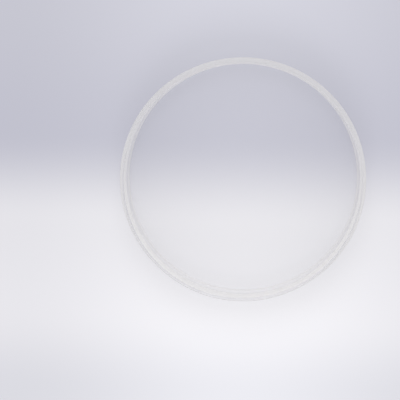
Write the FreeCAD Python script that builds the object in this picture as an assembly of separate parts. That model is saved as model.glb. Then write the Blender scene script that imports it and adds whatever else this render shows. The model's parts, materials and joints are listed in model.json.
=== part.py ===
import FreeCAD, Part
import os

# A milling disc of clear cast acrylic, turned in one piece on a lathe.
# It is a thick round blank with a collar round the middle of its height. The clamp of a
# milling machine holds the collar by its two shoulders.
# The disc lies on one of its flat faces. Z is its axis, and the lower face is at Z = 0.

# Driving dimensions, in millimetres
COLLAR_DIAMETER = 98.0
DISC_THICKNESS = 25.0
COLLAR_THICKNESS = 10.0
SHOULDER_WIDTH = 2.0  # how far the collar stands out from the body all round
FACE_CHAMFER = 0.5  # the broken edge round each flat face
COLLAR_CHAMFER = 0.3  # the broken edges of the collar
ROOT_RADIUS = 0.3  # left by the nose of the turning tool where a shoulder meets the body

# Sizes that follow from them
collar_radius = COLLAR_DIAMETER / 2
body_radius = collar_radius - SHOULDER_WIDTH
lower_shoulder = (DISC_THICKNESS - COLLAR_THICKNESS) / 2
upper_shoulder = lower_shoulder + COLLAR_THICKNESS

ORIGIN = FreeCAD.Vector(0, 0, 0)
AXIS = FreeCAD.Vector(0, 0, 1)
FULL_TURN = 360.0


def same(length, other):
    """True for two lengths that the modelling kernel takes as one."""
    return abs(length - other) <= FreeCAD.Base.Precision.confusion()


def half_section():
    """The face from the axis out to the collar, with its corners still sharp."""
    corners = [
        (0, 0),
        (body_radius, 0),
        (body_radius, lower_shoulder),
        (collar_radius, lower_shoulder),
        (collar_radius, upper_shoulder),
        (body_radius, upper_shoulder),
        (body_radius, DISC_THICKNESS),
        (0, DISC_THICKNESS),
    ]
    points = [FreeCAD.Vector(radius, 0, height) for radius, height in corners]
    return Part.Face(Part.makePolygon(points, True))


def rings(solid, radius, heights):
    """The circular edges of that radius that lie at one of the heights."""
    circles = [edge for edge in solid.Edges if isinstance(edge.Curve, Part.Circle)]
    as_wide = [circle for circle in circles if same(circle.Curve.Radius, radius)]
    return [
        circle
        for circle in as_wide
        if any(same(circle.Curve.Center.z, height) for height in heights)
    ]


def milling_disc():
    """The turned blank: section revolved, roots rounded, then every sharp edge broken."""
    shoulders = (lower_shoulder, upper_shoulder)
    faces = (0, DISC_THICKNESS)
    disc = half_section().revolve(ORIGIN, AXIS, FULL_TURN)
    disc = disc.makeFillet(ROOT_RADIUS, rings(disc, body_radius, shoulders))
    disc = disc.makeChamfer(COLLAR_CHAMFER, rings(disc, collar_radius, shoulders))
    disc = disc.makeChamfer(FACE_CHAMFER, rings(disc, body_radius, faces))
    return disc


os.makedirs("parts", exist_ok=True)
milling_disc().exportStep("parts/milling_disc.step")
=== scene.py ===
import json
import math

import bpy
from mathutils import Matrix, Vector


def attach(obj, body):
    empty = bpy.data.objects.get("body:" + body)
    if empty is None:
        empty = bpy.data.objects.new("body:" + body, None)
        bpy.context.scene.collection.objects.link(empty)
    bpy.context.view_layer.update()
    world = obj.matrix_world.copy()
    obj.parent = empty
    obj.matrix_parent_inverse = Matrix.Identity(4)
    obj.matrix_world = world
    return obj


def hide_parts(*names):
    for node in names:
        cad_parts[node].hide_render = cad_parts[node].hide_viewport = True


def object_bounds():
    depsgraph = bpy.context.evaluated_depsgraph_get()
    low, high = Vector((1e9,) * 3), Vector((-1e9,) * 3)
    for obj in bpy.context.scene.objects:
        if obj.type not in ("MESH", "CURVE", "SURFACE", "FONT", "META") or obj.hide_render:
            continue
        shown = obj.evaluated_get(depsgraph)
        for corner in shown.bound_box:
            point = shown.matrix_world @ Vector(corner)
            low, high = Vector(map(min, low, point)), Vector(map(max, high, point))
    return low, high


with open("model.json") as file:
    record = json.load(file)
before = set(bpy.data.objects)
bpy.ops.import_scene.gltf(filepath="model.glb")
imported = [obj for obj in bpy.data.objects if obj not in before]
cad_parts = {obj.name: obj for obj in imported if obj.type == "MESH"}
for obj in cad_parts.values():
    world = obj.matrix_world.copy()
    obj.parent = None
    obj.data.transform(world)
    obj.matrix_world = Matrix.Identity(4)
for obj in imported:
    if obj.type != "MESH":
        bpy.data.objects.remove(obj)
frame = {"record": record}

# A milling disc of clear acrylic. It lies on a flat face, with its axis along Z, and the
# camera looks down on it. Its flat faces are polished, and its rim is as the lathe left it.
cad_low, cad_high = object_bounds()

MM = 0.001
MOUNTS = {mount["name"]: mount for mount in frame["record"]["mounts"]}
COLLAR_RADIUS = (cad_high.x - cad_low.x) / 2
THICKNESS = cad_high.z - cad_low.z
LOWER_SHOULDER = MOUNTS["lower_shoulder"]["pos_m"][2]
UPPER_SHOULDER = MOUNTS["upper_shoulder"]["pos_m"][2]

# Sizes of the turned rim, as in the part's source
SHOULDER_WIDTH = 2.0 * MM
FACE_CHAMFER = 0.5 * MM
COLLAR_CHAMFER = 0.3 * MM
ROOT_RADIUS = 0.3 * MM
BODY_RADIUS = COLLAR_RADIUS - SHOULDER_WIDTH
POLISHED_RADIUS = BODY_RADIUS - FACE_CHAMFER

# The mesh. A face whose normal has this much of Z counts as flat.
SEGMENTS = 720
ROOT_STEPS = 6
FACE_RINGS = 12
SHARP_ANGLE = math.radians(20)
FLAT = 0.999

# The polished faces: colour, least and most roughness, and the light that they let past
ACRYLIC_IOR = 1.49
POLISHED_COLOUR = (0.95, 0.95, 0.95, 1)
POLISHED_ROUGH = (0.0, 0.02)
POLISHED_PASS = (0.97, 0.97, 0.97, 1)

# The satin finish: colours and roughness of its bands, then how clear it is, how much of it
# glows through and how much is milky
SATIN_DARK = (0.96, 0.951, 0.942, 1)
SATIN_LIGHT = (1.0, 0.99, 0.98, 1)
SATIN_ROUGH = (0.42, 0.56)
SATIN_CLEAR = 0.5
SATIN_GLOW = 0.9
SATIN_MILK = 0.40

# Each of these from outside, then from within the acrylic: the satin's painted shade, darker
# seen from outside than from within, and the light that it lets past
SATIN_PAINTED_SHADE = (0.91, 0.98)
SATIN_PASS = (0.70, 0.93)

# The patterns in the acrylic: how many to the metre, their detail, and the turning marks
HAZE_SCALE, HAZE_DETAIL = 30.0, 2.0
BAND_SCALE, BAND_DETAIL = 1500.0, 3.0
MARK_SCALE, MARK_DETAIL = 6000.0, 2.0
MARK_HEIGHT = 0.01 * MM
MARK_STRENGTH = 0.3

# Most values of a noise texture lie between these
NOISE_LOW, NOISE_HIGH = 0.3, 0.7

# The camera: where it is, what it looks at, and its range in metres, and the lens in mm
CAMERA_AT = Vector((6.5, 44.6, 334.4)) * MM
CAMERA_AIM = Vector((-17.0, -8.2, 12.5)) * MM
CAMERA_UP = Vector((0, 1, 0))
CAMERA_LENS = 72.25
CAMERA_NEAREST = 0.01
CAMERA_FARTHEST = 20.0

# The lights: place and size in metres, power in watts, and the strength of the dome
SOFTBOX_SIZE = 0.5
KEY_AT, KEY_POWER = (0.0, 0.54, 0.79), 2.95
FILL_AT, FILL_POWER = (0.0, -0.54, 0.79), 2.55
DOME_COLOUR = (1, 1, 1, 1)
DOME_STRENGTH = 0.61

# The floor: its height and half width in metres, and its painted shades from near to far in mm,
# pale near and darker behind the disc as painted shade
FLOOR_HEIGHT = -0.05 * MM
FLOOR_HALF_WIDTH = 3.0
FLOOR_ROUGH = 0.9
FLOOR_NEAR = (229, 229, 235)
FLOOR_PALE = (242, 241, 245)
FLOOR_MIDDLE = (239, 238, 242)
FLOOR_DARK = (202, 202, 214)
FLOOR_FAR = (207, 207, 217)
# Painted shade: the floor lighter near the camera and darker behind the disc
FLOOR_PAINTED_SHADES = (
    (-97, FLOOR_NEAR),
    (-60, FLOOR_PALE),
    (-20, FLOOR_MIDDLE),
    (18, FLOOR_DARK),
    (76, FLOOR_FAR),
)

# The floor's painted pool of light: lighter in the middle, with painted shade out to this far at
# each side
FLOOR_SIDE = 100 * MM
FLOOR_MIDDLE_PAINTED_LIGHT = (1.02, 1.02, 1.02, 1)
FLOOR_SIDE_PAINTED_SHADE = (0.86, 0.86, 0.87, 1)

# The backdrop, which the floor fades into, and how far from the disc that starts and ends
BACKDROP = (206, 206, 216)
FADE_START = 0.14
FADE_END = 0.50


def linear(colour):
    """A colour as it shows on screen, 0 to 255, as the light that it stands for."""
    return tuple(((c / 255 + 0.055) / 1.055) ** 2.4 for c in colour) + (1.0,)


def arc(centre, radius, start, end, steps):
    """Points on an arc in the section plane, its two ends among them."""
    angles = [start + (end - start) * i / steps for i in range(steps + 1)]
    return [
        (centre[0] + radius * math.cos(a), centre[1] + radius * math.sin(a))
        for a in angles
    ]


def half_profile(shoulder):
    """The rim from the polished face out to the collar's wall, measured from that face."""
    root_centre = (BODY_RADIUS + ROOT_RADIUS, shoulder - ROOT_RADIUS)
    root = arc(root_centre, ROOT_RADIUS, math.pi, math.pi / 2, ROOT_STEPS)
    face = [(POLISHED_RADIUS * i / FACE_RINGS, 0.0) for i in range(1, FACE_RINGS + 1)]
    return [
        *face,
        (BODY_RADIUS, FACE_CHAMFER),
        *root,
        (COLLAR_RADIUS - COLLAR_CHAMFER, shoulder),
        (COLLAR_RADIUS, shoulder + COLLAR_CHAMFER),
    ]


def profile():
    """The disc's whole outline in section, as (radius, height), from below to above."""
    lower = half_profile(LOWER_SHOULDER)
    upper = half_profile(THICKNESS - UPPER_SHOULDER)
    return lower + [(radius, THICKNESS - depth) for radius, depth in reversed(upper)]


def turned_mesh(name, outline):
    """A closed solid of revolution about Z, with a fan at each end of the axis."""
    turns = [2 * math.pi * i / SEGMENTS for i in range(SEGMENTS)]
    points = [(0.0, 0.0, outline[0][1])]
    for radius, height in outline:
        points += [(radius * math.cos(t), radius * math.sin(t), height) for t in turns]
    points.append((0.0, 0.0, outline[-1][1]))
    top = len(points) - 1
    faces = []
    for i in range(SEGMENTS):
        j = (i + 1) % SEGMENTS
        faces.append((0, 1 + j, 1 + i))
        for ring in range(len(outline) - 1):
            a = 1 + ring * SEGMENTS
            b = a + SEGMENTS
            faces.append((a + i, a + j, b + j, b + i))
        last = 1 + (len(outline) - 1) * SEGMENTS
        faces.append((last + i, last + j, top))
    mesh = bpy.data.meshes.new(name)
    mesh.from_pydata(points, [], faces)
    mesh.validate()
    mesh.polygons.foreach_set("use_smooth", [True] * len(mesh.polygons))
    mesh.set_sharp_from_angle(angle=SHARP_ANGLE)
    return mesh


def node(tree, kind, **values):
    """A new node with those settings and input values."""
    made = tree.nodes.new(kind)
    for name, value in values.items():
        if name in made.inputs:
            made.inputs[name].default_value = value
        else:
            setattr(made, name, value)
    return made


def math_node(tree, operation, *values):
    """The output of a Math node on those outputs."""
    made = node(tree, "ShaderNodeMath", operation=operation)
    for value, socket in zip(values, made.inputs):
        tree.links.new(value, socket)
    return made.outputs[0]


def remapped(tree, value, low, high, first, last, easing="LINEAR"):
    """The output value, taken from low to high, turned into first to last."""
    made = node(tree, "ShaderNodeMapRange", interpolation_type=easing)
    made.inputs["From Min"].default_value = low
    made.inputs["From Max"].default_value = high
    made.inputs["To Min"].default_value = first
    made.inputs["To Max"].default_value = last
    tree.links.new(value, made.inputs["Value"])
    return made.outputs["Result"]


def noise(tree, place, scale, detail):
    """The value of a noise texture at that place, with so many grains to the metre."""
    made = node(tree, "ShaderNodeTexNoise", Scale=scale, Detail=detail)
    tree.links.new(place, made.inputs["Vector"])
    return made.outputs["Fac"]


def from_noise(tree, value, first, last):
    """A noise texture's value turned into first to last."""
    return remapped(tree, value, NOISE_LOW, NOISE_HIGH, first, last)


def blended(tree, share, first, last, how="MIX"):
    """The colour from first to last at that share. Each is a colour or an output."""
    mix = node(tree, "ShaderNodeMix", data_type="RGBA", blend_type=how)
    for value, socket in ((share, mix.inputs[0]), (first, mix.inputs[6]), (last, mix.inputs[7])):
        if isinstance(value, bpy.types.NodeSocket):
            tree.links.new(value, socket)
        else:
            socket.default_value = value
    return mix.outputs[2]


def mixed_in(tree, other, share):
    """Mixes another shader over what the material shows. share is a number or an output."""
    surface = tree.nodes["Material Output"].inputs["Surface"]
    shown = surface.links[0].from_socket
    mix = node(tree, "ShaderNodeMixShader")
    if isinstance(share, float):
        mix.inputs["Fac"].default_value = share
    else:
        tree.links.new(share, mix.inputs["Fac"])
    tree.links.new(shown, mix.inputs[1])
    tree.links.new(other, mix.inputs[2])
    tree.links.new(mix.outputs["Shader"], surface)


def new_material(name):
    """A material with its node tree and its Principled node."""
    material = bpy.data.materials.new(name)
    material.use_nodes = True
    tree = material.node_tree
    return material, tree, tree.nodes["Principled BSDF"]


def let_light_past(tree, past):
    """Lets light past the acrylic onto what it covers, through that Transparent node."""
    path = node(tree, "ShaderNodeLightPath")
    for ray in ("Is Diffuse Ray", "Is Shadow Ray"):
        mixed_in(tree, past.outputs["BSDF"], path.outputs[ray])


def polished_acrylic():
    """The flat faces: clear, with a very faint haze."""
    material, tree, shader = new_material("polished_acrylic")
    shader.inputs["IOR"].default_value = ACRYLIC_IOR
    shader.inputs["Transmission Weight"].default_value = 1.0
    shader.inputs["Base Color"].default_value = POLISHED_COLOUR
    place = node(tree, "ShaderNodeTexCoord").outputs["Object"]
    haze = noise(tree, place, HAZE_SCALE, HAZE_DETAIL)
    tree.links.new(from_noise(tree, haze, *POLISHED_ROUGH), shader.inputs["Roughness"])
    let_light_past(tree, node(tree, "ShaderNodeBsdfTransparent", Color=POLISHED_PASS))
    return material


def section_place(tree):
    """Radius and height as a vector: a pattern on it runs round the disc in rings."""
    place = node(tree, "ShaderNodeTexCoord")
    split = node(tree, "ShaderNodeSeparateXYZ")
    across = node(tree, "ShaderNodeCombineXYZ")
    radius = node(tree, "ShaderNodeVectorMath", operation="LENGTH")
    section = node(tree, "ShaderNodeCombineXYZ")
    tree.links.new(place.outputs["Object"], split.inputs["Vector"])
    tree.links.new(split.outputs["X"], across.inputs["X"])
    tree.links.new(split.outputs["Y"], across.inputs["Y"])
    tree.links.new(across.outputs["Vector"], radius.inputs[0])
    tree.links.new(radius.outputs["Value"], section.inputs["X"])
    tree.links.new(split.outputs["Z"], section.inputs["Z"])
    return section.outputs["Vector"]


def satin_tone_with_painted_shade(tree, bands, side):
    """The satin's colour: banded, with painted shade that makes it darker seen from outside than
    from within the acrylic.
    """
    banded = blended(tree, from_noise(tree, bands, 0.0, 1.0), SATIN_DARK, SATIN_LIGHT)
    return blended(tree, 1.0, banded, remapped(tree, side, 0, 1, *SATIN_PAINTED_SHADE), "MULTIPLY")


def turning_marks(tree, section):
    """The normal of a surface with the fine marks of a turning tool."""
    bump = node(tree, "ShaderNodeBump", Strength=MARK_STRENGTH, Distance=MARK_HEIGHT)
    tree.links.new(noise(tree, section, MARK_SCALE, MARK_DETAIL), bump.inputs["Height"])
    return bump.outputs["Normal"]


def scatter(tree, kind, share, tone_with_painted_shade, normal):
    """Mixes in a shader that scatters light."""
    made = node(tree, kind)
    tree.links.new(tone_with_painted_shade, made.inputs["Color"])
    tree.links.new(normal, made.inputs["Normal"])
    mixed_in(tree, made.outputs["BSDF"], share)


def satin_acrylic():
    """The rim as turned: part clear, part glowing and part milky, with bands all round and
    painted shade, darker seen from outside.
    """
    material, tree, shader = new_material("satin_acrylic")
    shader.inputs["IOR"].default_value = ACRYLIC_IOR
    shader.inputs["Transmission Weight"].default_value = SATIN_CLEAR
    section = section_place(tree)
    side = node(tree, "ShaderNodeNewGeometry").outputs["Backfacing"]
    bands = noise(tree, section, BAND_SCALE, BAND_DETAIL)
    # Painted shade: the satin's colour darker seen from outside than from within
    tone_with_painted_shade = satin_tone_with_painted_shade(tree, bands, side)
    normal = turning_marks(tree, section)
    tree.links.new(from_noise(tree, bands, *SATIN_ROUGH), shader.inputs["Roughness"])
    tree.links.new(tone_with_painted_shade, shader.inputs["Base Color"])
    tree.links.new(normal, shader.inputs["Normal"])
    scatter(tree, "ShaderNodeBsdfTranslucent", SATIN_GLOW, tone_with_painted_shade, normal)
    scatter(tree, "ShaderNodeBsdfDiffuse", SATIN_MILK, tone_with_painted_shade, normal)
    past = node(tree, "ShaderNodeBsdfTransparent")
    tree.links.new(remapped(tree, side, 0, 1, *SATIN_PASS), past.inputs["Color"])
    let_light_past(tree, past)
    return material


def make_disc():
    """The disc, in place of its solid: a finer mesh of the same section, in two finishes."""
    mesh = turned_mesh("turned_disc", profile())
    mesh.materials.append(polished_acrylic())
    mesh.materials.append(satin_acrylic())
    for polygon in mesh.polygons:
        flat = abs(polygon.normal.z) > FLAT
        inside = polygon.center.xy.length < POLISHED_RADIUS
        polygon.material_index = 0 if flat and inside else 1
    disc = bpy.data.objects.new("turned_disc", mesh)
    bpy.context.scene.collection.objects.link(disc)
    shading = disc.modifiers.new("shading", "WEIGHTED_NORMAL")
    shading.keep_sharp = True
    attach(disc, "root")
    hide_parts("milling_disc")


def seen_rays(tree):
    """1 for a ray that shows its surface, straight, mirrored or through glass, and else 0."""
    rays = node(tree, "ShaderNodeLightPath").outputs
    direct_or_mirrored = math_node(tree, "MAXIMUM", rays["Is Camera Ray"], rays["Is Glossy Ray"])
    return math_node(tree, "MAXIMUM", direct_or_mirrored, rays["Is Transmission Ray"])


def fade_to_backdrop(tree, place):
    """Turns the floor into the plain backdrop away from the disc, for rays that show it."""
    distance = node(tree, "ShaderNodeVectorMath", operation="LENGTH")
    tree.links.new(place, distance.inputs[0])
    fade = remapped(tree, distance.outputs["Value"], FADE_START, FADE_END, 0, 1, "SMOOTHSTEP")
    plain = node(tree, "ShaderNodeEmission", Color=linear(BACKDROP))
    mixed_in(tree, plain.outputs["Emission"], math_node(tree, "MULTIPLY", fade, seen_rays(tree)))


def floor_painted_shade(tree, along):
    """The floor's colour at that distance from the disc's centre line, with painted shade: pale
    near, darker behind.
    """
    near, far = FLOOR_PAINTED_SHADES[0][0], FLOOR_PAINTED_SHADES[-1][0]
    ramp = node(tree, "ShaderNodeValToRGB")
    ramp.color_ramp.interpolation = "EASE"
    stops = ramp.color_ramp.elements
    while len(stops) < len(FLOOR_PAINTED_SHADES):
        stops.new(0.5)
    for stop, (distance, colour) in zip(stops, FLOOR_PAINTED_SHADES):
        stop.position = (distance - near) / (far - near)
        stop.color = linear(colour)
    tree.links.new(remapped(tree, along, near * MM, far * MM, 0, 1), ramp.inputs["Fac"])
    return ramp.outputs["Color"]


def floor_material():
    """A matt floor with painted shade, pale near and bluish grey behind the disc, and a painted
    pool of light that darkens to the sides; away from the disc it goes into the backdrop.
    """
    material, tree, shader = new_material("floor")
    shader.inputs["Roughness"].default_value = FLOOR_ROUGH
    shader.inputs["Specular IOR Level"].default_value = 0.0
    place = node(tree, "ShaderNodeTexCoord").outputs["Object"]
    split = node(tree, "ShaderNodeSeparateXYZ")
    tree.links.new(place, split.inputs["Vector"])
    # A painted pool of light: lighter in the middle, painted shade towards each side
    sideways = math_node(tree, "ABSOLUTE", split.outputs["X"])
    aside = remapped(tree, sideways, 0, FLOOR_SIDE, 0, 1, "SMOOTHSTEP")
    painted_pool = blended(tree, aside, FLOOR_MIDDLE_PAINTED_LIGHT, FLOOR_SIDE_PAINTED_SHADE)
    shade = blended(tree, 1.0, floor_painted_shade(tree, split.outputs["Y"]), painted_pool, "MULTIPLY")
    tree.links.new(shade, shader.inputs["Base Color"])
    fade_to_backdrop(tree, place)
    return material


def make_floor():
    """A wide flat floor just under the disc."""
    w = FLOOR_HALF_WIDTH
    mesh = bpy.data.meshes.new("floor")
    mesh.from_pydata([(-w, -w, 0), (w, -w, 0), (w, w, 0), (-w, w, 0)], [], [(0, 1, 2, 3)])
    mesh.materials.append(floor_material())
    floor = bpy.data.objects.new("floor", mesh)
    floor.location.z = FLOOR_HEIGHT
    bpy.context.scene.collection.objects.link(floor)


def aim(thing, at, target, up):
    """Puts a camera or lamp at a point, looking at the target, with its top towards up."""
    back = (at - target).normalized()
    right = up.cross(back).normalized()
    top = back.cross(right)
    turn = Matrix((right, top, back)).transposed().to_4x4()
    thing.matrix_world = Matrix.Translation(at) @ turn


def make_camera():
    """The camera above the disc, a little to the far side of its axis."""
    data = bpy.data.cameras.new("camera")
    data.lens = CAMERA_LENS
    data.clip_start = CAMERA_NEAREST
    data.clip_end = CAMERA_FARTHEST
    camera = bpy.data.objects.new("camera", data)
    bpy.context.scene.collection.objects.link(camera)
    aim(camera, CAMERA_AT, CAMERA_AIM, CAMERA_UP)
    bpy.context.scene.camera = camera


def softbox(name, at, power):
    """A large soft lamp aimed at the disc. It doesn't show in the acrylic."""
    data = bpy.data.lights.new(name, "AREA")
    data.shape = "SQUARE"
    data.size = SOFTBOX_SIZE
    data.energy = power
    lamp = bpy.data.objects.new(name, data)
    lamp.visible_glossy = False
    lamp.visible_transmission = False
    bpy.context.scene.collection.objects.link(lamp)
    aim(lamp, Vector(at), Vector((0, 0, 0)), Vector((0, 0, 1)))


def make_dome():
    """A dome of soft white light. Rays that show it see the plain backdrop in its place."""
    world = bpy.data.worlds.new("world")
    world.use_nodes = True
    world.cycles.sampling_method = "NONE"
    tree = world.node_tree
    light = tree.nodes["Background"]
    light.inputs["Color"].default_value = DOME_COLOUR
    light.inputs["Strength"].default_value = DOME_STRENGTH
    plain = node(tree, "ShaderNodeBackground", Color=linear(BACKDROP))
    mix = node(tree, "ShaderNodeMixShader")
    tree.links.new(seen_rays(tree), mix.inputs["Fac"])
    tree.links.new(light.outputs["Background"], mix.inputs[1])
    tree.links.new(plain.outputs["Background"], mix.inputs[2])
    tree.links.new(mix.outputs["Shader"], tree.nodes["World Output"].inputs["Surface"])
    bpy.context.scene.world = world


def make_lights():
    """A lamp behind the disc, a weaker one in front, and the dome."""
    softbox("key", KEY_AT, KEY_POWER)
    softbox("fill", FILL_AT, FILL_POWER)
    make_dome()


make_camera()
make_disc()
make_floor()
make_lights()
bpy.context.scene.view_settings.view_transform = "Standard"
